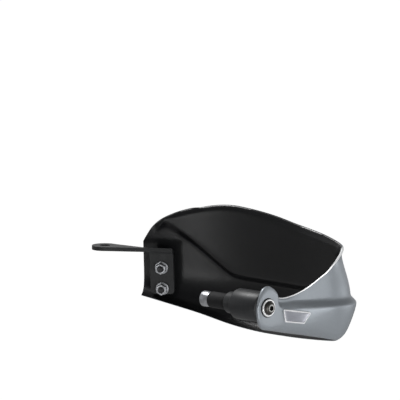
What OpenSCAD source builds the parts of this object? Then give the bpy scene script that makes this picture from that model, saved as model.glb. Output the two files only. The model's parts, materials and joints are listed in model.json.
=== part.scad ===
// Right-hand motorcycle hand guard, in millimetres.
// Origin: on the axis of the handlebar, in the plane where the end spacer meets the tube.
// +X points outboard along the bar, +Y forward, +Z up.
// The moulded shell is one wall that follows a plan line from the round lug at the bar end,
// along the side, round the outer corner and across the front of the hand.

/* [Shell in plan] */
// Height of the lug at the bar end above the bolt
lug_r = 20.6; // [17:0.1:24]
// Distance of the lug's rear edge behind the bolt
lug_back = 13.6; // [12.6:0.1:20]
// Straight run of the wall in front of the bolt before it flares outboard
lug_run = 17.5; // [12:0.5:26]
// Angle by which the side wall flares outboard
flare_turn = 27.6; // [5:0.1:40]
// Radius of the bend where the flare starts
flare_r = 60; // [30:1:90]
// Straight length of the side wall
side_run = 27.2; // [15:0.2:60]
// Radius of the outer corner
corner_r = 38; // [25:1:60]
// Angle turned in the outer corner
corner_turn = 107.6; // [95:0.1:115]
// Length of the front wall
front_run = 246; // [210:2:280]
// Angle through which the front wall curves back inboard
front_turn = 45; // [25:1:60]

/* [Shell section] */
// Wall thickness of the moulding
wall_t = 3; // [2:0.25:4.5]
// Thickness of the lug at the bolt
lug_t = 3.5; // [3:0.25:6]
// Depth of the step between the lower bumper and the wall above it
step_d = 6; // [2:0.5:9]
// Height of the sloping band that makes the step
step_h = 8; // [5:0.5:14]
// Angle by which the wall above the bar axis leans in
lean_angle = 9.65; // [0:0.25:14]
// Height of the rolled lip along the top edge
lip_h = 6; // [3:0.5:10]
// How far the lip rolls outwards
lip_out = 2.6; // [0:0.2:5]
// How far the bumper curves in towards its lower edge
tuck_in = 10; // [3:0.5:14]
// How far the lower edge itself is turned under
edge_in = 8; // [3:0.5:12]
// Height of the top edge at its highest point
peak_z = 76.2; // [60:0.2:95]
// Depth of the lower edge at its lowest point
keel_z = 49.4; // [38:0.2:60]

/* [Badge plate] */
// Length of the plate along its top edge
badge_l = 32.4; // [25:0.1:40]
// Height of the plate
badge_h = 12.7; // [8:0.1:18]
// How much each end of the plate slants in towards the bottom
badge_slant = 4.1; // [0:0.1:9]
// Angle by which the plate is turned down towards its outer end
badge_turn = 9.3; // [0:0.1:15]
// Thickness of the plate
badge_t = 1.4; // [0.8:0.1:2.5]
// Width of the raised border
badge_rim = 1.3; // [0.8:0.1:2]
// Depth of the field inside the border
badge_sink = 0.6; // [0.3:0.1:0.7]

/* [Bar end] */
// Outer diameter of the spacer
spacer_d = 31; // [26:0.5:36]
// Distance from the end of the bar to the lug
spacer_l = 49; // [40:1:64]
// Diameter of the neck that stands on the end of the bar
neck_d = 22; // [19:0.5:24]
// Length of the neck
neck_l = 12; // [4:0.5:16]
// Diameter of the end screw
screw_d = 8; // [6:1:10]
// Outer diameter of the steel bush in the lug
bush_d = 12; // [11.5:0.5:15]
// Diameter of the bevelled cup washer
cup_d = 18; // [16.5:0.5:22]
// Height of the cup washer
cup_h = 1.3; // [1:0.1:2.5]
// Diameter of the rubber seal under the cup washer
seal_d = 19.6; // [17:0.2:24]
// Thickness of the rubber seal
seal_t = 0.8; // [0.6:0.1:2]
// Outer diameter of the expander in the bar
expander_d = 16.5; // [15:0.5:18]
// Length of the rubber expander sleeve
expander_l = 25; // [18:1:34]

/* [Inner fixing] */
// Position along the wall of the two inner screws, measured from the inboard edge
fix_back = 22; // [18:1:34]
// Height of the upper inner screw above the bar axis
fix_top = 13; // [9:0.5:20]
// Distance between the two inner screws
fix_pitch = 22; // [18:0.5:26]
// Diameter of the inner screws
fix_screw_d = 6; // [5:1:6]
// Diameter of the moulded bosses
boss_d = 16; // [15:0.5:20]
// Depth of the bosses behind the outer face of the wall
boss_depth = 12; // [9:0.5:18]
// Thickness of the rubber rings on the bosses
ring_t = 2; // [1:0.25:4]
// Thickness of the steel bracket
bracket_t = 4; // [3:0.5:6]
// Width of the bracket at the shell
bracket_w = 24; // [20:1:30]
// Inner radius of the bend in the bracket
bend_r = 3; // [2:0.5:6]
// Diameter of the hole for the mirror stem
stem_d = 10.4; // [8.4:0.2:12.4]
// Outer diameter of the eye round the mirror stem
eye_d = 26; // [22:0.5:32]
// Distance of the eye inboard of the bend
eye_reach_x = 54; // [40:1:70]
// Distance of the eye behind the bend
eye_reach_y = 24; // [10:1:36]

/* [Clearances] */
// Clearance round a screw in its hole
hole_play = 0.3; // [0.2:0.05:0.6]
// Clearance round a pressed or threaded piece
press_play = 0.05; // [0.03:0.01:0.1]
// Gap under the badge plate, filled by its adhesive
glue_gap = 0.15; // [0.1:0.05:0.3]

/* [Hidden] */
$fn = 96;

shell_grey = [0.57, 0.60, 0.64];
trim_black = [0.10, 0.10, 0.11];
rubber_black = [0.06, 0.06, 0.06];
bright_steel = [0.78, 0.79, 0.80];
dark_steel = [0.25, 0.25, 0.27];
badge_pale = [0.80, 0.82, 0.85];

// The plan line of the bumper's outer face, as straight runs and arcs: [length, turn to the left].
face_x = spacer_l + lug_t;
flare_s = lug_back + lug_run;
side_s = flare_s + flare_r * flare_turn * PI / 180;
corner_s = side_s + side_run;
front_s = corner_s + corner_r * corner_turn * PI / 180;
end_s = front_s + front_run;
runs = [
    [flare_s, 0],
    [side_s - flare_s, -flare_turn],
    [side_run, 0],
    [front_s - corner_s, corner_turn],
    [front_run, front_turn],
];

// Point and heading [x, y, angle] after distance s along the plan line.
function plan_at(s, i = 0, p = [face_x, -lug_back, 90]) =
    let (
        run = runs[i],
        last = i == len(runs) - 1,
        d = last ? s : min(s, run[0]),
        turn = run[1] * d / run[0],
        r = run[1] == 0 ? 0 : run[0] / (run[1] * PI / 180),
        q = run[1] == 0
            ? [p[0] + d * cos(p[2]), p[1] + d * sin(p[2]), p[2]]
            : [p[0] + r * (sin(p[2] + turn) - sin(p[2])),
               p[1] - r * (cos(p[2] + turn) - cos(p[2])),
               p[2] + turn]
    )
    (last || s <= run[0]) ? q : plan_at(s - run[0], i + 1, q);

// Point on the wall: s along the plan line, out from the bumper's face, z up.
function wall_point(s, out, z) =
    let (p = plan_at(s)) [p[0] + out * sin(p[2]), p[1] - out * cos(p[2]), z];

// Smooth step from 0 at a to 1 at b.
function ease(a, b, t) =
    let (u = min(1, max(0, (t - a) / (b - a)))) u * u * (3 - 2 * u);

// Smooth curve through the points k = [[s, value], ...].
function slope_at(k, i) =
    let (a = max(0, i - 1), b = min(len(k) - 1, i + 1)) (k[b][1] - k[a][1]) / (k[b][0] - k[a][0]);
function curve(k, s, i = 0) =
    (i < len(k) - 2 && s > k[i + 1][0]) ? curve(k, s, i + 1) :
    let (
        w = k[i + 1][0] - k[i][0],
        t = min(1, max(0, (s - k[i][0]) / w)),
        m0 = slope_at(k, i) * w,
        m1 = slope_at(k, i + 1) * w
    )
    k[i][1] * (1 + 2 * t) * (1 - t) * (1 - t) + m0 * t * (1 - t) * (1 - t)
    + k[i + 1][1] * t * t * (3 - 2 * t) - m1 * t * t * (1 - t);

// Where the features lie along the wall.
lug_mid = lug_back;
apex_s = lug_back + 1;
notch_s = flare_s + 5;
ramp_s = front_s + 150;
merge_s = end_s - 18;

// Height below which the bumper's face curves in.
belt_z = -step_h / 2 - 2;

// Depth of the lug below the bolt.
lug_low = lug_r + 1.7;

// Height of the top edge and of the lower edge.
top_keys = [
    [apex_s, lug_r], [lug_mid + 5.2, lug_r * 0.98], [lug_mid + 10, lug_r * 0.86],
    [lug_mid + 13.6, lug_r * 0.73], [flare_s, 11], [flare_s + 2.6, 7.9], [flare_s + 5, 6],
    [flare_s + 9, 5.1], [flare_s + 14, 5.4], [side_s - 8.5, 7.1], [side_s, 10.7],
    [side_s + 9, 15.4], [side_s + 18, 21.4], [corner_s - 3.4, 25.4], [corner_s + 12.7, 34.8],
    [corner_s + 29.5, 42.4], [corner_s + 46, 48.4], [front_s - 2, 52], [front_s + 20, 56],
    [front_s + 62, peak_z - 14.4], [front_s + 94, peak_z - 7.6], [front_s + 122, peak_z - 2.8],
    [front_s + 145, peak_z], [front_s + 167, peak_z - 1.2], [end_s - 47, peak_z - 7.6],
    [end_s - 23, peak_z - 17], [end_s - 9, peak_z - 28], [end_s, peak_z - 42],
];
low_keys = [
    [lug_mid, -lug_low], [lug_mid + 6, -lug_low - 1.2], [flare_s - 2, -lug_low - 3],
    [side_s - 11, -lug_low - 8.4], [side_s + 8, -lug_low - 12.6], [corner_s, -lug_low - 16.4],
    [corner_s + 20, -lug_low - 18.6], [front_s + 8, -keel_z + 2.6], [front_s + 45, -keel_z + 0.4],
    [front_s + 74, -keel_z], [front_s + 110, -keel_z + 1.3], [front_s + 145, -keel_z + 6.2],
    [front_s + 182, -keel_z + 15.4], [end_s - 32, -keel_z + 23], [end_s, -keel_z + 31],
];
// Height of the step: level round the side and the front, then rising to the top edge inboard.
step_keys = [
    [notch_s, 0.8], [side_s, -1.4], [corner_s, -1.6], [front_s, -2], [front_s + 75, -1.6],
    [ramp_s - 14, 1.6], [ramp_s, 4.4], [ramp_s + 10, 11], [ramp_s + 24, 22],
    [ramp_s + 38, 33], [merge_s - 10, 53], [end_s, 67],
];

lug_angles = [6, 14, 24, 36, 50, 64, 78];
// The rear of the lug: an egg, a little pointed at the top.
function lug_arc(s, mid) = sin(acos(min(1, max(-1, (mid - s) / mid))));
function top_z(s) = s < apex_s ? lug_r * pow(lug_arc(s, apex_s), 1.4) : curve(top_keys, s);
function low_z(s) = s < lug_mid ? -lug_low * pow(lug_arc(s, lug_mid), 0.9) : curve(low_keys, s);

// How much of each section form a place has, from none on the lug to all of it.
function stepped(s) = ease(flare_s - 3, notch_s - 1, s) * (1 - ease(merge_s - 6, merge_s + 6, s));
function leaning(s) = ease(flare_s - 4, side_s + 16, s);
function tucked(s) = 0.05 + 0.95 * ease(lug_mid, corner_s, s);
function turned_under(s) =
    0.08 + 0.22 * ease(0, lug_mid, s) + 0.7 * ease(lug_mid + 4, flare_s + 10, s);
function lip_roll(s) = 1.4 * (ease(flare_s - 4, side_s, s) - 1)
    + lip_out * ease(front_s - 20, front_s + 60, s) * (1 - ease(end_s - 50, end_s - 5, s));
// How far the bumper's face lies behind the plan line at height z, over a lower edge at low.
function tuck(s, z, low) =
    let (belt = max(belt_z, low / 2), v = max(0, (belt - z) / (belt - low)))
    tuck_in * tucked(s) * v * v + edge_in * turned_under(s) * pow(v, 9);
function lug_round(s) = 1.1 * pow(1 - min(1, s / 4), 2);
function thick(s) = lug_t + (wall_t - lug_t) * ease(flare_s, side_s, s);
lean = tan(lean_angle);
// Round the bolt the inner face stays flat, because the spacer stands on it.
seat_r = spacer_d / 2;
function off_seat(s, z) = s > side_s ? 1 : ease(seat_r + 0.5, seat_r + 4, norm([plan_at(s)[1], z]));

// Rows of the section, as shares of the lower face, the step, the wall above it and the lip.
bumper_rows = [1, 0.975, 0.93, 0.86, 0.75, 0.6, 0.42, 0.24, 0.1];
step_rows = [0, 0.2, 0.5, 0.8, 1];
wall_rows = [0.2, 0.45, 0.7, 0.9];
lip_rows = [0, 0.3, 0.65, 1];
min_wall = 1.2;

// Outer face of the section at s, from the lower edge up, as [out, z].
function outer_face(s) =
    let (
        top = top_z(s),
        low = low_z(s),
        step = curve(step_keys, s),
        lip = min(lip_h, (top - low) / 8, max(min_wall, (top - step) / 3)),
        step_top = min(step + step_h / 2, top - lip - min_wall),
        band = min(step_h, (step_top - low) / 4),
        step_low = step_top - band,
        depth = step_d * stepped(s),
        base = -lug_round(s)
    )
    [
        for (v = bumper_rows)
            let (z = step_low - v * (step_low - low))
            [base - tuck(s, z, low), z],
        for (v = step_rows)
            [base - depth * ease(0, 1, v), step_low + v * band],
        for (v = wall_rows)
            [base - depth, step_top + v * (top - lip - step_top)],
        for (v = lip_rows)
            [base - depth + lip_roll(s) * v * v, top - lip + v * lip],
    ];

// Inner face behind it: the wall's thickness away, but flat where the spacer stands.
function inner_face(s, face) =
    [for (q = face) let (w = off_seat(s, q[1])) [w * (q[0] - thick(s)) - (1 - w) * lug_t, q[1]]];

// Closed section loop at s: the outer face up, a rounded top edge, the inner face down,
// a rounded lower edge.
function section(s) =
    let (
        face = [for (q = outer_face(s)) [q[0] - lean * leaning(s) * max(0, q[1]), q[1]]],
        back = inner_face(s, face),
        n = len(face),
        rim = (face[n - 1] + back[n - 1]) / 2,
        foot = (face[0] + back[0]) / 2,
        top_t = face[n - 1][0] - back[n - 1][0],
        low_t = face[0][0] - back[0][0]
    )
    [
        for (q = face) wall_point(s, q[0], q[1]),
        wall_point(s, rim[0], rim[1] + top_t / 4),
        for (i = [n - 1 : -1 : 0]) wall_point(s, back[i][0], back[i][1]),
        wall_point(s, foot[0], foot[1] - low_t / 4),
    ];

// Stations along the wall: close together where it bends, wider on the front.
stations = [
    for (a = lug_angles) lug_mid * (1 - cos(a)),
    for (i = [0 : 4]) lug_mid + i * (flare_s - 3 - lug_mid) / 5,
    for (i = [0 : 5]) flare_s - 3 + i * (notch_s + 3 - flare_s) / 6,
    for (i = [0 : 4]) notch_s + i * (side_s - notch_s) / 5,
    for (i = [0 : 4]) side_s + i * side_run / 5,
    for (i = [0 : 13]) corner_s + i * (front_s - corner_s) / 14,
    for (i = [0 : 13]) front_s + i * (ramp_s - 16 - front_s) / 14,
    for (i = [0 : 5]) ramp_s - 16 + i * 32 / 6,
    for (i = [0 : 8]) ramp_s + 16 + i * (merge_s - 8 - ramp_s - 16) / 9,
    for (i = [0 : 8]) merge_s - 8 + i * (end_s - merge_s + 8) / 8,
];

// Solid through a list of closed loops of equal length. Each end is closed by a strip
// between the two halves of its loop.
module skin(loops) {
    n = len(loops[0]);
    m = len(loops);
    half = n / 2 - 1;
    points = [for (loop = loops) each loop];
    sides = [
        for (j = [0 : m - 2], i = [0 : n - 1])
            let (a = j * n + i, b = j * n + (i + 1) % n)
            each [[a, b, b + n], [a, b + n, a + n]]
    ];
    strip = [for (i = [0 : half - 2]) [i, i + 1, n - 3 - i, n - 2 - i]];
    first_end = [
        for (q = strip) each [[q[0], q[2], q[1]], [q[0], q[3], q[2]]],
        [0, n - 1, n - 2],
        [half - 1, half + 1, half],
    ];
    last_end = [for (t = first_end) [for (k = [2, 1, 0]) t[k] + (m - 1) * n]];
    polyhedron(points, concat(sides, first_end, last_end), convexity = 8);
}

// Frame of the inner fixing: its X points out of the leaning wall, its Z runs up the wall.
fix_s = end_s - fix_back;
fix_plan = plan_at(fix_s);
fix_heights = [fix_top, fix_top - fix_pitch];
module at_fixing(height = 0) {
    translate([fix_plan[0], fix_plan[1], 0])
        rotate([0, 0, fix_plan[2] - 90])
            rotate([0, -lean_angle, 0])
                translate([0, 0, height])
                    children();
}
// A round piece whose axis is the X axis of the frame it is placed in.
module along_x() { rotate([0, 90, 0]) children(); }

fix_hole_r = fix_screw_d / 2 + hole_play;
fix_sleeve_r = fix_hole_r + 1.2;
fix_washer_r = fix_sleeve_r + 2.6;
fix_washer_t = 1.2;
fix_seat = -3.2;
// How far a cutting tool reaches past what it cuts
past = 5;
ring_x = -boss_depth - ring_t;
plate_x = ring_x - bracket_t;

module guard_shell() {
    color(shell_grey)
    difference() {
        union() {
            skin([for (s = stations) section(s)]);
            for (h = fix_heights) at_fixing(h)
                translate([-boss_depth, 0, 0]) along_x()
                    cylinder(d = boss_d, h = boss_depth + fix_seat + min_wall);
        }
        // bore for the steel bush in the lug
        translate([spacer_l - past, 0, 0]) along_x()
            cylinder(d = bush_d + 2 * press_play, h = lug_t + 2 * past);
        // seats and holes of the inner screws
        for (h = fix_heights) at_fixing(h) {
            translate([fix_seat, 0, 0]) along_x() cylinder(r = fix_washer_r + hole_play, h = 4 * past);
            translate([-boss_depth - past, 0, 0]) along_x()
                cylinder(r = fix_sleeve_r + press_play, h = boss_depth + 2 * past);
        }
    }
}

// Badge plate: an upside-down trapezium with round corners that follows the side wall.
badge_s = flare_s + 3 + badge_l / 2;
badge_z = belt_z - badge_h / 2 - 0.4;
badge_corner = 2;
// Outline in the plane of the plate, from its middle, as [along, up].
function badge_outline(inset) =
    let (
        l = badge_l / 2 - inset,
        b = l - badge_slant,
        h = badge_h / 2 - inset,
        r = max(0.4, badge_corner - inset),
        corners = [[l - r * 1.2, h - r, 0], [-l + r * 1.2, h - r, 90],
                   [-b + r, -h + r, 180], [b - r, -h + r, 270]]
    )
    [for (c = corners, a = [0 : 15 : 90]) [c[0] + r * cos(c[2] + a), c[1] + r * sin(c[2] + a)]];
// The plate is turned down at its outer end, as the lower edge of the wall is.
function badge_loop(share, inset, out) =
    [for (q = badge_outline(inset))
        let (
            s = badge_s + share * (q[0] * cos(badge_turn) + q[1] * sin(badge_turn)),
            z = badge_z + share * (q[1] * cos(badge_turn) - q[0] * sin(badge_turn))
        )
        wall_point(s, out - tuck(s, z, low_z(s)), z)];
module badge_plate() {
    under = glue_gap;
    top = glue_gap + badge_t;
    field = top - badge_sink;
    loops = [
        for (k = [0.02, 0.25, 0.5, 0.75]) badge_loop(k, 0, under),
        badge_loop(1, 0, under),
        badge_loop(1, 0, top - 0.3),
        badge_loop(1, 0.3, top),
        badge_loop(1, badge_rim - 0.15, top),
        badge_loop(1, badge_rim, field),
        for (k = [0.75, 0.5, 0.25, 0.02]) badge_loop(k, badge_rim, field),
    ];
    n = len(loops[0]);
    m = len(loops);
    points = [for (loop = loops) each loop];
    centre_low = badge_loop(0, 0, under)[0];
    centre_top = badge_loop(0, 0, field)[0];
    sides = [
        for (j = [0 : m - 2], i = [0 : n - 1])
            let (a = j * n + i, b = j * n + (i + 1) % n)
            each [[a, b + n, b], [a, a + n, b + n]]
    ];
    caps = [
        for (i = [0 : n - 1]) [(i + 1) % n, n * m, i],
        for (i = [0 : n - 1]) [(m - 1) * n + i, n * m + 1, (m - 1) * n + (i + 1) % n],
    ];
    color(badge_pale)
        polyhedron(concat(points, [centre_low, centre_top]), concat(sides, caps), convexity = 4);
}

// Bar-end group: everything lies on the axis of the bar.
screw_r = screw_d / 2;
screw_hole_r = screw_r + hole_play;
seal_x = face_x;
cup_x = seal_x + seal_t;
cup_floor = cup_h * 0.4;
head_x = cup_x + cup_floor;
head_r = screw_r * 1.75;
head_h = screw_r;
cone_l = 14;
cone_end = 6;
sleeve_end = -expander_l;
sleeve_bore_r = screw_r + 0.6;
cone_tip_r = screw_r + 1.4;
cone_r = expander_d / 2 - 0.4;
cone_x = sleeve_end + cone_l - 5;
cone_back = cone_x - cone_l - cone_end;

// Solid of revolution from [radius, distance] points, turned to lie along the bar axis.
module turned(profile) { along_x() rotate_extrude() polygon(profile); }

module end_screw() {
    socket_r = screw_r * 0.72;
    color(dark_steel)
    difference() {
        turned([
            [0, cone_back - 2], [screw_r - 1, cone_back - 2], [screw_r, cone_back - 1],
            [screw_r, head_x], [head_r - 0.3, head_x], [head_r, head_x + 0.4],
            [head_r, head_x + 0.9], [head_r * 0.95, head_x + head_h * 0.45],
            [head_r * 0.84, head_x + head_h * 0.72], [head_r * 0.68, head_x + head_h * 0.93],
            [head_r * 0.56, head_x + head_h], [0, head_x + head_h],
        ]);
        translate([head_x + head_h * 0.4, 0, 0]) along_x() cylinder(r = socket_r, h = head_h, $fn = 6);
    }
}

module cup_washer() {
    r = cup_d / 2;
    dish_r = head_r + hole_play;
    color(bright_steel)
    turned([
        [screw_hole_r, cup_x], [r, cup_x], [r, cup_x + cup_h * 0.5], [r - 0.5, cup_x + cup_h],
        [dish_r + 0.2, cup_x + cup_h], [dish_r, cup_x + cup_h - 0.2], [dish_r, head_x],
        [screw_hole_r, head_x],
    ]);
}

module seal_washer() {
    r = seal_d / 2;
    color(rubber_black)
    turned([
        [screw_hole_r + 0.4, seal_x], [r - 0.3, seal_x], [r, seal_x + 0.3],
        [r, seal_x + seal_t - 0.3], [r - 0.3, cup_x], [screw_hole_r + 0.4, cup_x],
    ]);
}

module lug_bush() {
    r = bush_d / 2;
    color(bright_steel)
    turned([
        [screw_hole_r, spacer_l], [r - 0.4, spacer_l], [r, spacer_l + 0.4],
        [r, face_x - 0.4], [r - 0.4, face_x], [screw_hole_r, face_x],
    ]);
}

module end_spacer() {
    r = spacer_d / 2;
    neck_r = neck_d / 2;
    color(trim_black)
    turned([
        [screw_hole_r, 0], [neck_r - 0.8, 0], [neck_r, 0.8], [neck_r, neck_l - 1],
        [neck_r + 1, neck_l], [r - 1, neck_l], [r, neck_l + 1], [r, spacer_l - 1.8],
        [r - 0.6, spacer_l - 0.6], [r - 1.8, spacer_l], [screw_hole_r, spacer_l],
    ]);
}

module expander_sleeve() {
    r = expander_d / 2;
    play = 0.2;
    mouth_r = cone_tip_r + play + (cone_r - cone_tip_r) * (cone_x - sleeve_end) / cone_l;
    color(rubber_black)
    turned([
        [sleeve_bore_r, 0], [r, 0], [r, sleeve_end + 0.4], [r - 0.4, sleeve_end], [mouth_r, sleeve_end],
        [cone_tip_r + play, cone_x + play], [sleeve_bore_r, cone_x + play],
    ]);
}

module expander_cone() {
    bore_r = screw_r + press_play;
    color(dark_steel)
    difference() {
        turned([
            [bore_r, cone_back], [cone_r - 0.8, cone_back], [cone_r, cone_back + 0.8],
            [cone_r, cone_x - cone_l], [cone_tip_r, cone_x], [bore_r, cone_x],
        ]);
        // two flats that grip the bar
        for (side = [-1, 1])
            translate([cone_back - past, side * (cone_r - 0.8) - (side < 0 ? past : 0), -expander_d])
                cube([cone_end + past, past, 2 * expander_d]);
    }
}

// Inner bracket: a strip with a plate on the bosses, bent inboard to an eye round the mirror stem.
plate_corner = bracket_w / 6;
plate_low = fix_heights[1] - 11;
bend_z = fix_heights[0] + 14;
bend_out = bend_r + bracket_t;
bend_x = ring_x - bend_out;
bend_plan = [
    fix_plan[0] + (bend_x * cos(lean_angle) - bend_z * sin(lean_angle)) * sin(fix_plan[2]),
    fix_plan[1] - (bend_x * cos(lean_angle) - bend_z * sin(lean_angle)) * cos(fix_plan[2]),
];
bend_height = bend_x * sin(lean_angle) + bend_z * cos(lean_angle);
eye_pos = [bend_plan[0] - eye_reach_x, bend_plan[1] - eye_reach_y];
eye_z = bend_height + bend_r;

module inner_bracket() {
    along = [cos(fix_plan[2]), sin(fix_plan[2])];
    reach = eye_pos - bend_plan;
    side = [-reach[1], reach[0]] / norm(reach);
    color(dark_steel)
    difference() {
        union() {
            at_fixing() {
                translate([plate_x, -bracket_w / 2, plate_low + plate_corner])
                    cube([bracket_t, bracket_w, bend_z - plate_low - plate_corner]);
                translate([plate_x, -bracket_w / 2 + plate_corner, plate_low])
                    cube([bracket_t, bracket_w - 2 * plate_corner, 2 * plate_corner]);
                for (y = [-1, 1])
                    translate([plate_x, y * (bracket_w / 2 - plate_corner), plate_low + plate_corner])
                        along_x() cylinder(r = plate_corner, h = bracket_t);
                translate([bend_x, bracket_w / 2, bend_z]) rotate([90, 0, 0])
                    rotate_extrude(angle = 90 - lean_angle)
                        translate([bend_r, 0]) square([bracket_t, bracket_w]);
            }
            translate([0, 0, eye_z]) linear_extrude(bracket_t) {
                polygon([
                    bend_plan + along * bracket_w / 2, bend_plan - along * bracket_w / 2,
                    eye_pos + side * eye_d / 2, eye_pos - side * eye_d / 2,
                ]);
                translate(eye_pos) circle(d = eye_d);
            }
        }
        translate([eye_pos[0], eye_pos[1], eye_z - past]) cylinder(d = stem_d, h = bracket_t + 2 * past);
        for (h = fix_heights) at_fixing(h)
            translate([plate_x - past, 0, 0]) along_x() cylinder(r = fix_hole_r, h = bracket_t + 2 * past);
    }
}

// One stack of inner fasteners, from the outside in: screw, washer, sleeve, rubber ring, flange nut.
fix_head_x = fix_seat + fix_washer_t;
nut_h = fix_screw_d;
nut_flange_r = fix_screw_d * 1.1;
module inner_screw() {
    r = fix_screw_d / 2;
    head = r * 1.75;
    tall = r * 1.1;
    tip = plate_x - nut_h - 2;
    color(dark_steel)
    difference() {
        turned([
            [0, tip], [r - 0.7, tip], [r, tip + 0.7], [r, fix_head_x], [head - 0.3, fix_head_x],
            [head, fix_head_x + 0.5], [head * 0.9, fix_head_x + tall * 0.6],
            [head * 0.6, fix_head_x + tall], [0, fix_head_x + tall],
        ]);
        translate([fix_head_x + tall * 0.4, 0, 0]) along_x() cylinder(r = r * 0.75, h = tall, $fn = 6);
    }
}
module inner_washer() {
    color(bright_steel)
    turned([
        [fix_hole_r, fix_seat], [fix_washer_r, fix_seat], [fix_washer_r, fix_head_x - 0.2],
        [fix_washer_r - 0.2, fix_head_x], [fix_hole_r, fix_head_x],
    ]);
}
// Steel sleeve that carries the clamp load past the plastic, from the washer to the bracket.
module inner_sleeve() {
    color(bright_steel)
    turned([
        [fix_hole_r, ring_x], [fix_sleeve_r - 0.3, ring_x], [fix_sleeve_r, ring_x + 0.3],
        [fix_sleeve_r, fix_seat - 0.3], [fix_sleeve_r - 0.3, fix_seat], [fix_hole_r, fix_seat],
    ]);
}
module rubber_ring() {
    r = boss_d / 2;
    bore_r = fix_sleeve_r + press_play;
    color(rubber_black)
    turned([
        [bore_r, ring_x], [r - 0.4, ring_x], [r, ring_x + 0.4],
        [r, -boss_depth - 0.4], [r - 0.4, -boss_depth], [bore_r, -boss_depth],
    ]);
}
module inner_nut() {
    color(bright_steel)
    difference() {
        union() {
            translate([plate_x - 1.2, 0, 0]) along_x() cylinder(r = nut_flange_r, h = 1.2);
            translate([plate_x - nut_h, 0, 0]) along_x()
                cylinder(r = fix_screw_d * 0.96, h = nut_h - 0.6, $fn = 6);
        }
        translate([plate_x - nut_h - past, 0, 0]) along_x()
            cylinder(r = fix_screw_d / 2 + press_play, h = nut_h + 2 * past);
    }
}
module inner_screw_upper() { at_fixing(fix_heights[0]) inner_screw(); }
module inner_screw_lower() { at_fixing(fix_heights[1]) inner_screw(); }
module inner_washer_upper() { at_fixing(fix_heights[0]) inner_washer(); }
module inner_washer_lower() { at_fixing(fix_heights[1]) inner_washer(); }
module inner_sleeve_upper() { at_fixing(fix_heights[0]) inner_sleeve(); }
module inner_sleeve_lower() { at_fixing(fix_heights[1]) inner_sleeve(); }
module rubber_ring_upper() { at_fixing(fix_heights[0]) rubber_ring(); }
module rubber_ring_lower() { at_fixing(fix_heights[1]) rubber_ring(); }
module inner_nut_upper() { at_fixing(fix_heights[0]) inner_nut(); }
module inner_nut_lower() { at_fixing(fix_heights[1]) inner_nut(); }

guard_shell();
badge_plate();
end_screw();
cup_washer();
seal_washer();
lug_bush();
end_spacer();
expander_sleeve();
expander_cone();
inner_bracket();
inner_screw_upper();
inner_screw_lower();
inner_washer_upper();
inner_washer_lower();
inner_sleeve_upper();
inner_sleeve_lower();
rubber_ring_upper();
rubber_ring_lower();
inner_nut_upper();
inner_nut_lower();
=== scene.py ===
import json
import math

import bpy
from mathutils import Matrix, Vector

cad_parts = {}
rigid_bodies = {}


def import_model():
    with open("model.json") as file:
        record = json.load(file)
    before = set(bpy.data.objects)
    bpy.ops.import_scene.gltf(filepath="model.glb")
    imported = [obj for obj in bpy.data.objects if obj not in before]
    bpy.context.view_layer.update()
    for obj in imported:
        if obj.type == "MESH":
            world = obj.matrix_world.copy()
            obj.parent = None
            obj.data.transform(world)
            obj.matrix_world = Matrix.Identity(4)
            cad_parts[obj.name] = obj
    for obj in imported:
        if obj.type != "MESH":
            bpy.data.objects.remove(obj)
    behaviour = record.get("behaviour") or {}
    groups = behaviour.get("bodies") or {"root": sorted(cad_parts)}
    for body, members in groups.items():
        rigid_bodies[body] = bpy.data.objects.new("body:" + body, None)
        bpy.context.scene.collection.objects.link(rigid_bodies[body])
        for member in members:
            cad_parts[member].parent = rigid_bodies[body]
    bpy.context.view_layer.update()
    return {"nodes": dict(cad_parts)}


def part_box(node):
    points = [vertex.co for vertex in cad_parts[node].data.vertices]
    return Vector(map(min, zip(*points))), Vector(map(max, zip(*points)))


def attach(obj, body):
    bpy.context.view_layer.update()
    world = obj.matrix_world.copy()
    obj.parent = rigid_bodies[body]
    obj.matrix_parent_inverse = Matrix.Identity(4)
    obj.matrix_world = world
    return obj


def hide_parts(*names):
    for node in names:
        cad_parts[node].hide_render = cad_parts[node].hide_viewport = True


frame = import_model()
nodes = frame["nodes"]


# The camera stands behind and outboard of the spacer, 44 degrees round from straight astern
# and 9 degrees above level, and sees 400 mm across with no perspective, as a long lens does.
round_from_astern = math.radians(44.03)
above_level = math.radians(8.98)
to_camera = Vector((
    math.sin(round_from_astern) * math.cos(above_level),
    -math.cos(round_from_astern) * math.cos(above_level),
    math.sin(above_level),
))
to_right = Vector((math.cos(round_from_astern), math.sin(round_from_astern), 0.0))
to_top = to_camera.cross(to_right)
sideways_of_spacer = -0.03007
over_spacer = 0.1022
camera_away = 1.5
picture_width = 0.4
picture_middle = to_right * sideways_of_spacer + to_top * over_spacer
bpy.ops.object.camera_add(location=picture_middle + to_camera * camera_away)
camera = bpy.context.object
camera.name = "photo_camera"
camera.rotation_mode = "QUATERNION"
camera.rotation_quaternion = Matrix((to_right, to_top, to_camera)).transposed().to_quaternion()
camera.data.type = "ORTHO"
camera.data.ortho_scale = picture_width
camera.data.clip_start = 0.05
camera.data.clip_end = 30.0
bpy.context.scene.camera = camera


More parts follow.
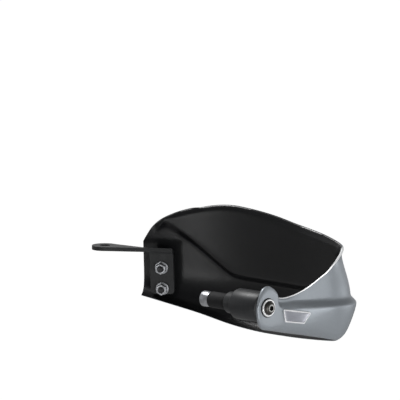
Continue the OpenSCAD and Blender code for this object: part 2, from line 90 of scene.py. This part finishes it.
# The guard's shell is one moulding of tough black plastic, sprayed satin silver-grey on the
# outside and left bare and grained inside; the rim of its side carries a near-white painted
# highlight. It is a welded copy of the imported shell, with its outer corner leaned, curled and
# filled out a little.
paint_light = (0.335, 0.364, 0.394, 1.0)
paint_dark = (0.308, 0.336, 0.366, 1.0)
bare_light = (0.0088, 0.0091, 0.0102, 1.0)
bare_dark = (0.0064, 0.0066, 0.0075, 1.0)
# Near-white colours for the painted highlight along the top of the side's rim.
rim_highlight_light = (0.92, 0.93, 0.94, 1.0)
rim_highlight_dark = (0.86, 0.87, 0.88, 1.0)
bumper_side = Vector((0.0735, 0.060, 0.0))
faces_outboard = 0.6
paint_edge = math.radians(19.2)
kept_crisp = math.radians(34)
flat_enough = math.radians(8)
square_enough = math.radians(50)
corner_middle = Vector((0.03825, 0.08701))
corner_round = 0.038
corner_starts = math.radians(-27.6)
corner_ends = math.radians(80)
side_rim_inboard = 0.03
highlight_starts = 0.022
side_rim_ends = 0.046
highlight_low = -0.012
highlight_faces_up = 0.35
belt_height = -0.006
lip_height = 0.006
lean_out = (0.0135, 1.3)
lean_back = (0.010, 2)
lean_foot = (0.0025, 9)
edge_crease = 0.75
# Places along the wall are counted from where the corner starts; each line gives what holds there.
top_line = (
    (0.0, 0.0275), (0.0127, 0.0348), (0.0295, 0.0424), (0.046, 0.0484), (0.0694, 0.052),
    (0.0914, 0.056), (0.1334, 0.0618), (0.1654, 0.0686), (0.1890, 0.0734), (0.211, 0.0762),
    (0.230, 0.075), (0.257, 0.0686), (0.276, 0.0592), (0.2865, 0.0482), (0.2927, 0.0342))
low_line = ((0.0, -0.0387), (0.020, -0.0409), (0.045, -0.0435), (0.0714, -0.0461))
raise_line = (
    (0.040, 0.0), (0.069, 0.0010), (0.100, 0.0014), (0.121, 0.0018), (0.143, 0.0020),
    (0.165, 0.0015), (0.188, 0.0007), (0.205, 0.0), (0.225, -0.0006), (0.246, -0.0014),
    (0.261, -0.0030), (0.275, -0.0024), (0.288, 0.0))
curl_line = ((0.010, 0.0), (0.030, 0.0014), (0.048, 0.0027), (0.060, 0.0027), (0.131, 0.0))
lean_line = ((-0.018, 0.0), (-0.009, 0.25), (0.0, 0.75), (0.010, 1.0), (0.075, 1.0), (0.150, 0.0))
belly_line = (
    (-0.040, 0.0010), (-0.030, 0.0006), (0.0, 0.0008), (0.0107, 0.0016), (0.0158, 0.0013),
    (0.026, 0.0), (0.031, -0.0007), (0.041, -0.0016), (0.046, 0.0), (0.052, -0.0010))
belly_reach = ((0.0, 0.0), (0.018, 0.30), (0.036, 1.0), (0.062, 1.0), (0.090, 0.2), (0.120, 0.0))


def finish_of(name, light, dark, rough, spread, metal, gloss, grain, depth, cloud=60.0,
              along=(1.0, 1.0, 1.0)):
    """A node finish: clouded colour, uneven roughness and a fine grain in the surface."""
    material = bpy.data.materials.new(name)
    material.use_nodes = True
    tree = material.node_tree
    shader = tree.nodes["Principled BSDF"]
    shader.inputs["Metallic"].default_value = metal
    shader.inputs["Specular IOR Level"].default_value = gloss
    place = tree.nodes.new("ShaderNodeTexCoord")
    stretch = tree.nodes.new("ShaderNodeMapping")
    stretch.inputs["Scale"].default_value = along
    tree.links.new(place.outputs["Object"], stretch.inputs["Vector"])

    def noise(scale, detail):
        made = tree.nodes.new("ShaderNodeTexNoise")
        made.inputs["Scale"].default_value = scale
        made.inputs["Detail"].default_value = detail
        made.inputs["Roughness"].default_value = 0.6
        tree.links.new(stretch.outputs["Vector"], made.inputs["Vector"])
        return made.outputs["Fac"]

    dark_below, light_above = 0.32, 0.68
    tint = tree.nodes.new("ShaderNodeValToRGB")
    tint.color_ramp.elements[0].position = dark_below
    tint.color_ramp.elements[0].color = dark
    tint.color_ramp.elements[1].position = light_above
    tint.color_ramp.elements[1].color = light
    tree.links.new(noise(cloud, 6.0), tint.inputs["Fac"])
    tree.links.new(tint.outputs["Color"], shader.inputs["Base Color"])
    finer_than_cloud = 5.0
    uneven = tree.nodes.new("ShaderNodeMapRange")
    uneven.inputs["To Min"].default_value = rough - spread
    uneven.inputs["To Max"].default_value = rough + spread
    tree.links.new(noise(cloud * finer_than_cloud, 4.0), uneven.inputs["Value"])
    tree.links.new(uneven.outputs["Result"], shader.inputs["Roughness"])
    bump = tree.nodes.new("ShaderNodeBump")
    bump.inputs["Strength"].default_value = 0.35
    bump.inputs["Distance"].default_value = depth
    tree.links.new(noise(grain, 3.0), bump.inputs["Height"])
    tree.links.new(bump.outputs["Normal"], shader.inputs["Normal"])
    return material


def welded_copy(node, name):
    """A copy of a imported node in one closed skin, with no finish yet, open in edit mode."""
    bpy.ops.object.select_all(action="DESELECT")
    nodes[node].select_set(True)
    bpy.context.view_layer.objects.active = nodes[node]
    bpy.ops.object.duplicate()
    made = bpy.context.object
    made.name = name
    made.data.name = name
    made.data.materials.clear()
    bpy.ops.object.mode_set(mode="EDIT")
    bpy.ops.mesh.select_mode(type="FACE")
    bpy.ops.mesh.select_all(action="SELECT")
    bpy.ops.mesh.customdata_custom_splitnormals_clear()
    bpy.ops.mesh.remove_doubles(threshold=0.00001)
    return made


def between(line, at):
    """The value at one place of a line given by a few points, level beyond both its ends."""
    if at <= line[0][0]:
        return line[0][1]
    for (x0, y0), (x1, y1) in zip(line, line[1:]):
        if at <= x1:
            return y0 + (y1 - y0) * (at - x0) / (x1 - x0)
    return line[-1][1]


def place_on_wall(point):
    """The wall's outward direction at a point, and how far along the wall the point lies."""
    arm = point.xy - corner_middle
    turn = min(corner_ends, max(corner_starts, math.atan2(arm.y, arm.x)))
    outward = Vector((math.cos(turn), math.sin(turn), 0.0))
    return outward, corner_round * (turn - corner_starts) + arm.cross(outward.xy) * -1.0


shell = welded_copy("guard_shell", "painted_shell")
shell.data.materials.append(finish_of(
    "bare_black_plastic", bare_light, bare_dark,
    rough=0.33, spread=0.05, metal=0.0, gloss=0.38, grain=1500.0, depth=0.00010, cloud=60.0))
shell.data.materials.append(finish_of(
    "satin_grey_paint", paint_light, paint_dark,
    rough=0.44, spread=0.04, metal=0.40, gloss=0.40, grain=2600.0, depth=0.00005, cloud=900.0))
# The third finish is the near-white painted highlight on the side's rim.
shell.data.materials.append(finish_of(
    "painted_rim_highlight", rim_highlight_light, rim_highlight_dark,
    rough=0.36, spread=0.04, metal=0.0, gloss=0.6, grain=2600.0, depth=0.00003, cloud=900.0))
bpy.ops.mesh.tris_convert_to_quads(face_threshold=flat_enough, shape_threshold=square_enough)
bpy.ops.mesh.select_all(action="DESELECT")
bpy.ops.object.mode_set(mode="OBJECT")
for face in shell.data.polygons:
    face.material_index = 0
side_face = min(
    (face for face in shell.data.polygons if face.normal.x > faces_outboard),
    key=lambda face: (face.center - bumper_side).length,
)
side_face.select = True
bpy.ops.object.mode_set(mode="EDIT")
bpy.ops.mesh.faces_select_linked_flat(sharpness=paint_edge)
bpy.ops.object.mode_set(mode="OBJECT")
outside = {face.index for face in shell.data.polygons if face.select}
bpy.ops.object.mode_set(mode="EDIT")
bpy.ops.mesh.select_more()
bpy.ops.object.mode_set(mode="OBJECT")
side_rim = set()
for face in shell.data.polygons:
    if face.select and face.index not in outside:
        if face.center.x > side_rim_inboard and place_on_wall(face.center)[1] < side_rim_ends:
            side_rim.add(face.index)
        else:
            face.select = False
bpy.ops.object.mode_set(mode="EDIT")
shell.active_material_index = 1
bpy.ops.object.material_slot_assign()
bpy.ops.object.mode_set(mode="OBJECT")
# Faces along the top of the side's rim, and the up-facing faces next to them, get the near-white
# painted highlight.
for face in shell.data.polygons:
    at = face.center
    face.select = face.index in side_rim and at.y > highlight_starts and at.z > highlight_low
bpy.ops.object.mode_set(mode="EDIT")
bpy.ops.mesh.select_more()
bpy.ops.object.mode_set(mode="OBJECT")
for face in shell.data.polygons:
    if face.index not in outside and face.index not in side_rim:
        if face.normal.z < highlight_faces_up or place_on_wall(face.center)[1] > side_rim_ends:
            face.select = False
bpy.ops.object.mode_set(mode="EDIT")
shell.active_material_index = 2
bpy.ops.object.material_slot_assign()
bpy.ops.object.mode_set(mode="OBJECT")

for vertex in shell.data.vertices:
    outward, along = place_on_wall(vertex.co)
    low = between(low_line, along)
    down = min(1.0, max(0.0, (belt_height - vertex.co.z) / (belt_height - low)))
    leaned = lean_out[0] * down ** lean_out[1] - lean_back[0] * down ** lean_back[1]
    leaned -= lean_foot[0] * down ** lean_foot[1]
    up = min(1.0, max(0.0, 1.0 - (between(top_line, along) - vertex.co.z) / lip_height))
    belly = between(belly_line, vertex.co.z) * between(belly_reach, along)
    vertex.co += outward * (belly - leaned * between(lean_line, along))
    vertex.co += outward * between(curl_line, along) * up ** 2
    vertex.co.z += between(raise_line, along) * up
bpy.ops.object.mode_set(mode="EDIT")
bpy.ops.mesh.select_all(action="DESELECT")
bpy.ops.mesh.select_mode(type="EDGE")
bpy.ops.mesh.edges_select_sharp(sharpness=kept_crisp)
bpy.ops.transform.edge_crease(value=edge_crease)
bpy.ops.object.mode_set(mode="OBJECT")
bpy.ops.object.modifier_add(type="SUBSURF")
shell.modifiers[-1].levels = 1
shell.modifiers[-1].render_levels = 1
bpy.ops.object.modifier_apply(modifier=shell.modifiers[-1].name)
bpy.ops.object.shade_smooth_by_angle(angle=kept_crisp)
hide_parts("guard_shell")
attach(shell, "root")


# The badge plate is a small pressed plate with a raised pale border and a bare, finely brushed
# field. It is stuck to the side of the bumper and left without any mark.
border_light = (0.97, 0.97, 0.98, 1.0)
border_dark = (0.93, 0.94, 0.96, 1.0)
field_light = (0.36, 0.37, 0.41, 1.0)
field_dark = (0.31, 0.32, 0.36, 1.0)


def soften(piece, width, crisp=math.radians(32)):
    """Breaks the piece's sharp edges with a small round, and smooths the faces between."""
    bpy.ops.object.mode_set(mode="OBJECT")
    bpy.ops.object.modifier_add(type="BEVEL")
    edge = piece.modifiers[-1]
    edge.width = width
    edge.segments = 2
    edge.limit_method = "ANGLE"
    edge.angle_limit = crisp
    edge.use_clamp_overlap = True
    bpy.ops.object.modifier_apply(modifier=edge.name)
    bpy.ops.object.mode_set(mode="EDIT")
    bpy.ops.mesh.select_all(action="SELECT")
    bpy.ops.mesh.remove_doubles(threshold=0.000004)
    bpy.ops.object.mode_set(mode="OBJECT")
    bpy.ops.object.shade_smooth_by_angle(angle=crisp)


badge = welded_copy("badge_plate", "bare_badge")
badge.data.materials.append(finish_of(
    "pale_border", border_light, border_dark,
    rough=0.32, spread=0.05, metal=0.0, gloss=0.5, grain=1800.0, depth=0.00003, cloud=200.0))
badge.data.materials.append(finish_of(
    "brushed_field", field_light, field_dark,
    rough=0.34, spread=0.06, metal=0.3, gloss=0.5, grain=900.0, depth=0.00004, cloud=240.0,
    along=(0.15, 0.15, 2.2)))
bpy.ops.mesh.select_all(action="DESELECT")
bpy.ops.object.mode_set(mode="OBJECT")
for face in badge.data.polygons:
    face.material_index = 0
badge_middle = sum((face.center for face in badge.data.polygons), Vector()) / len(badge.data.polygons)
near_middle = 0.004
badge_turned = 0.3
field_edge = math.radians(20)
field_face = max(
    (face for face in badge.data.polygons if (face.center - badge_middle).length < near_middle),
    key=lambda face: face.center.x - face.center.y * badge_turned,
)
field_face.select = True
bpy.ops.object.mode_set(mode="EDIT")
bpy.ops.mesh.faces_select_linked_flat(sharpness=field_edge)
badge.active_material_index = 1
bpy.ops.object.material_slot_assign()
soften(badge, width=0.00018)
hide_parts("badge_plate")
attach(badge, "root")


# The spacer is a matt black turned tube. Its narrow neck stands on the end of the tube that the
# guard is fixed to, and its wide end carries the lug.
spacer = welded_copy("end_spacer", "turned_spacer")
spacer.data.materials.append(finish_of(
    "matt_black_turned", (0.030, 0.031, 0.033, 1.0), (0.022, 0.023, 0.025, 1.0),
    rough=0.46, spread=0.06, metal=0.0, gloss=0.30, grain=700.0, depth=0.00003, cloud=60.0,
    along=(6.0, 0.4, 0.4)))
soften(spacer, width=0.0004)
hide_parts("end_spacer")
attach(spacer, "root")


# The end screw is a dark button-head socket screw. It clamps the lug and the spacer in place
# through a bright cup washer, with a black rubber seal under it and a steel bush in the lug.
socket_highlight_reach = 0.0039
socket_reach = 0.0029
socket_depth = 0.0026
end_screw = welded_copy("end_screw", "button_screw")
end_screw.data.materials.append(finish_of(
    "dark_oiled_steel", (0.070, 0.066, 0.060, 1.0), (0.036, 0.034, 0.031, 1.0),
    rough=0.36, spread=0.08, metal=0.6, gloss=0.5, grain=1600.0, depth=0.00004, cloud=320.0))
# A bright steel colour on the flat top round the socket is a painted highlight of the socket's edge.
end_screw.data.materials.append(finish_of(
    "painted_socket_highlight", (0.32, 0.32, 0.31, 1.0), (0.22, 0.22, 0.21, 1.0),
    rough=0.30, spread=0.08, metal=0.7, gloss=0.5, grain=1600.0, depth=0.00003, cloud=320.0))
# The socket's walls and floor are painted near-black, as painted shade in the recess.
end_screw.data.materials.append(finish_of(
    "socket_painted_shade", (0.006, 0.006, 0.006, 1.0), (0.003, 0.003, 0.003, 1.0),
    rough=0.60, spread=0.08, metal=0.0, gloss=0.1, grain=1600.0, depth=0.00003, cloud=320.0))
flat_depth = 0.0001
head_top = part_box("end_screw")[1][0]
bpy.ops.object.mode_set(mode="OBJECT")
for face in end_screw.data.polygons:
    from_axis = math.hypot(face.center.y, face.center.z)
    face.material_index = 0
    # Painted highlight: the flat top of the head just round the socket.
    if head_top - face.center.x < flat_depth and from_axis < socket_highlight_reach:
        face.material_index = 1
    # Painted shade inside the socket.
    elif head_top - face.center.x < socket_depth and from_axis < socket_reach:
        face.material_index = 2
soften(end_screw, width=0.00025)
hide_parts("end_screw")
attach(end_screw, "root")

cup_washer = welded_copy("cup_washer", "bright_cup_washer")
cup_washer.data.materials.append(finish_of(
    "bright_aluminium", (0.94, 0.945, 0.95, 1.0), (0.86, 0.87, 0.88, 1.0),
    rough=0.30, spread=0.06, metal=0.45, gloss=0.5, grain=1100.0, depth=0.00003, cloud=260.0,
    along=(6.0, 0.6, 0.6)))
soften(cup_washer, width=0.0002)
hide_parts("cup_washer")
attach(cup_washer, "root")

black_rubber = finish_of(
    "black_rubber", (0.016, 0.016, 0.017, 1.0), (0.010, 0.010, 0.011, 1.0),
    rough=0.72, spread=0.08, metal=0.0, gloss=0.25, grain=1900.0, depth=0.00012, cloud=120.0)
seal = welded_copy("seal_washer", "rubber_seal")
seal.data.materials.append(black_rubber)
soften(seal, width=0.0002)
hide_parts("seal_washer")
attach(seal, "root")

zinc_steel = finish_of(
    "zinc_steel", (0.48, 0.49, 0.51, 1.0), (0.34, 0.35, 0.37, 1.0),
    rough=0.36, spread=0.10, metal=0.85, gloss=0.5, grain=1200.0, depth=0.00005, cloud=180.0)
nodes["lug_bush"].data.materials.clear()
nodes["lug_bush"].data.materials.append(zinc_steel)


# The expander is a rubber sleeve on the screw, spread by a bright steel cone that the screw
# draws in. It stays out of sight once the guard is on.
sleeve = welded_copy("expander_sleeve", "expander_rubber")
sleeve.data.materials.append(black_rubber)
soften(sleeve, width=0.0003)
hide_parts("expander_sleeve")
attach(sleeve, "root")

cone = welded_copy("expander_cone", "expander_wedge")
cone.data.materials.append(zinc_steel)
soften(cone, width=0.0003)
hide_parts("expander_cone")
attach(cone, "root")


# The inner bracket is a bent steel strip in black powder coat. Two screws hold it to the bosses
# of the shell, and its eye takes a second fixing further in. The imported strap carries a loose
# double sheet, which is left off, and the plate's end is drawn up, clear of the shell.
plate_corner = 0.0043
plate_drawn_up = 0.0052
plate_steep = 0.5
loose_sheets = 2
bracket = welded_copy("inner_bracket", "bent_bracket")
for sheet in range(loose_sheets):
    bpy.ops.mesh.select_mode(type="EDGE")
    bpy.ops.mesh.select_all(action="DESELECT")
    bpy.ops.mesh.select_non_manifold(use_wire=False, use_multi_face=False,
                                     use_non_contiguous=False, use_verts=False)
    bpy.ops.object.mode_set(mode="OBJECT")
    open_edges = {edge.key for edge in bracket.data.edges if edge.select}
    for face in bracket.data.polygons:
        face.select = any(key in open_edges for key in face.edge_keys)
    bpy.ops.object.mode_set(mode="EDIT")
    bpy.ops.mesh.select_mode(type="FACE")
    if open_edges:
        bpy.ops.mesh.delete(type="FACE")
bpy.ops.object.mode_set(mode="OBJECT")
steep_faces = [face for face in bracket.data.polygons if abs(face.normal.z) < plate_steep]
plate_out = max(steep_faces, key=lambda face: face.area).normal.copy()
plate_up = (Vector((0.0, 0.0, 1.0)) - plate_out * plate_out.z).normalized()
plate_foot = min(vertex.co.dot(plate_up) for vertex in bracket.data.vertices)
for vertex in bracket.data.vertices:
    if vertex.co.dot(plate_up) < plate_foot + plate_corner:
        vertex.co += plate_up * plate_drawn_up
bracket.data.materials.append(finish_of(
    "black_powder_coat", (0.026, 0.027, 0.028, 1.0), (0.018, 0.019, 0.020, 1.0),
    rough=0.44, spread=0.07, metal=0.0, gloss=0.35, grain=650.0, depth=0.00018, cloud=80.0))
soften(bracket, width=0.0005)
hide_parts("inner_bracket")
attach(bracket, "root")


# Each of the two inner fixings is a screw with a washer in a seat of the shell, a steel sleeve
# through the boss, a rubber ring between boss and bracket, and a flanged nut behind.
blackened_steel = finish_of(
    "blackened_steel", (0.040, 0.040, 0.043, 1.0), (0.024, 0.024, 0.026, 1.0),
    rough=0.38, spread=0.08, metal=0.5, gloss=0.5, grain=1400.0, depth=0.00005, cloud=240.0)
for place in ("upper", "lower"):
    for part, finish, width, slot in (
        ("screw", blackened_steel, 0.0002, "black_screw"),
        ("washer", zinc_steel, 0.00015, "steel"),
        ("nut", zinc_steel, 0.0003, "steel"),
    ):
        piece = welded_copy("inner_%s_%s" % (part, place), "fixing_%s_%s" % (part, place))
        piece.data.materials.append(finish)
        soften(piece, width)
        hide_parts("inner_%s_%s" % (part, place))
        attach(piece, "root")
    ring = welded_copy("rubber_ring_%s" % place, "fixing_ring_%s" % place)
    ring.data.materials.append(black_rubber)
    soften(ring, width=0.0003)
    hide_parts("rubber_ring_%s" % place)
    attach(ring, "root")
    nodes["inner_sleeve_%s" % place].data.materials.clear()
    nodes["inner_sleeve_%s" % place].data.materials.append(zinc_steel)


# The floor is a plain pale studio sweep well below the guard. It keeps a faint shadow and
# reads as white in the picture, as the cut-out background of the photograph does.
floor_level = -0.95
floor_reach = 14.0
paper_grey = (0.5, 0.5, 0.5, 1.0)
mirrored_level = 0.20
bpy.ops.object.select_all(action="DESELECT")
bpy.ops.mesh.primitive_circle_add(vertices=96, radius=floor_reach, fill_type="NGON",
                                  location=(0.0, 0.0, floor_level))
floor = bpy.context.object
floor.name = "studio_floor"
floor_paper = bpy.data.materials.new("studio_paper")
floor_paper.use_nodes = True
paper = floor_paper.node_tree
paper.nodes["Principled BSDF"].inputs["Base Color"].default_value = paper_grey
paper.nodes["Principled BSDF"].inputs["Roughness"].default_value = 0.9
paper.nodes["Principled BSDF"].inputs["Specular IOR Level"].default_value = 0.0
glow = paper.nodes.new("ShaderNodeEmission")
seen = paper.nodes.new("ShaderNodeLightPath")
both = paper.nodes.new("ShaderNodeAddShader")
mirrored = paper.nodes.new("ShaderNodeMath")
mirrored.operation = "MULTIPLY_ADD"
mirrored.inputs[1].default_value = mirrored_level
paper.links.new(seen.outputs["Is Glossy Ray"], mirrored.inputs[0])
paper.links.new(seen.outputs["Is Camera Ray"], mirrored.inputs[2])
paper.links.new(mirrored.outputs[0], glow.inputs["Strength"])
paper.links.new(paper.nodes["Principled BSDF"].outputs[0], both.inputs[0])
paper.links.new(glow.outputs[0], both.inputs[1])
paper.links.new(both.outputs[0], paper.nodes["Material Output"].inputs["Surface"])
floor.data.materials.append(floor_paper)


# The light is soft and comes mostly from low on the camera's right. A lamp overhead and inboard
# lights the rim, whose bright line is also painted in as a near-white highlight. The white room is
# dimmer overhead and astern, so that faces turned up are a little darker than faces turned to the
# camera.
lit_point = Vector((0.0, 0.05, 0.0))
room_level = 0.26
overhead = (0.10, 0.60)
overhead_levels = (0.85, 0.15)
astern_of = (-0.95, -0.45)
astern_levels = (0.20, 1.0)


def lamp(name, sideways, upward, nearer, size, watts):
    """One square soft box, placed from the picture's middle and aimed at the guard."""
    spot = picture_middle + to_right * sideways + to_top * upward + to_camera * nearer
    bpy.ops.object.light_add(type="AREA", location=spot)
    made = bpy.context.object
    made.name = name
    made.data.shape = "SQUARE"
    made.data.size = size
    made.data.energy = watts
    made.rotation_mode = "QUATERNION"
    made.rotation_quaternion = (spot - lit_point).to_track_quat("Z", "Y")


lamp("key_lamp", sideways=0.9, upward=-0.95, nearer=1.9, size=1.4, watts=36.0)
lamp("low_lamp", sideways=-0.90, upward=-0.75, nearer=0.85, size=0.25, watts=1.5)
lamp("right_lamp", sideways=1.6, upward=-0.3, nearer=-0.3, size=0.9, watts=4.5)
lamp("rim_lamp", sideways=-0.63, upward=1.43, nearer=-0.29, size=0.4, watts=26.0)
world = bpy.data.worlds.new("white_studio")
bpy.context.scene.world = world
world.use_nodes = True
sky = world.node_tree
sky.nodes["Background"].inputs["Color"].default_value = (1.0, 1.0, 1.0, 1.0)
path = sky.nodes.new("ShaderNodeLightPath")
any_of = sky.nodes.new("ShaderNodeMath")
any_of.operation = "MAXIMUM"
level = sky.nodes.new("ShaderNodeMapRange")
level.inputs["To Min"].default_value = room_level
level.inputs["To Max"].default_value = 1.0
facing = sky.nodes.new("ShaderNodeTexCoord")
apart = sky.nodes.new("ShaderNodeSeparateXYZ")
ceiling = sky.nodes.new("ShaderNodeMapRange")
ceiling.inputs["From Min"].default_value = overhead[0]
ceiling.inputs["From Max"].default_value = overhead[1]
ceiling.inputs["To Min"].default_value = overhead_levels[0]
ceiling.inputs["To Max"].default_value = overhead_levels[1]
dimmed = sky.nodes.new("ShaderNodeMath")
dimmed.operation = "MULTIPLY"
shown = sky.nodes.new("ShaderNodeMath")
shown.operation = "MAXIMUM"
astern = sky.nodes.new("ShaderNodeMapRange")
astern.inputs["From Min"].default_value = astern_of[0]
astern.inputs["From Max"].default_value = astern_of[1]
astern.inputs["To Min"].default_value = astern_levels[0]
astern.inputs["To Max"].default_value = astern_levels[1]
shaded = sky.nodes.new("ShaderNodeMath")
shaded.operation = "MULTIPLY"
sky.links.new(path.outputs["Is Glossy Ray"], any_of.inputs[0])
sky.links.new(path.outputs["Is Transmission Ray"], any_of.inputs[1])
sky.links.new(any_of.outputs[0], level.inputs["Value"])
sky.links.new(facing.outputs["Generated"], apart.inputs["Vector"])
sky.links.new(apart.outputs["Z"], ceiling.inputs["Value"])
sky.links.new(level.outputs["Result"], dimmed.inputs[0])
sky.links.new(apart.outputs["Y"], astern.inputs["Value"])
sky.links.new(ceiling.outputs["Result"], shaded.inputs[0])
sky.links.new(astern.outputs["Result"], shaded.inputs[1])
sky.links.new(shaded.outputs[0], dimmed.inputs[1])
sky.links.new(dimmed.outputs[0], shown.inputs[0])
sky.links.new(path.outputs["Is Camera Ray"], shown.inputs[1])
sky.links.new(shown.outputs[0], sky.nodes["Background"].inputs["Strength"])
bpy.context.scene.view_settings.view_transform = "Standard"
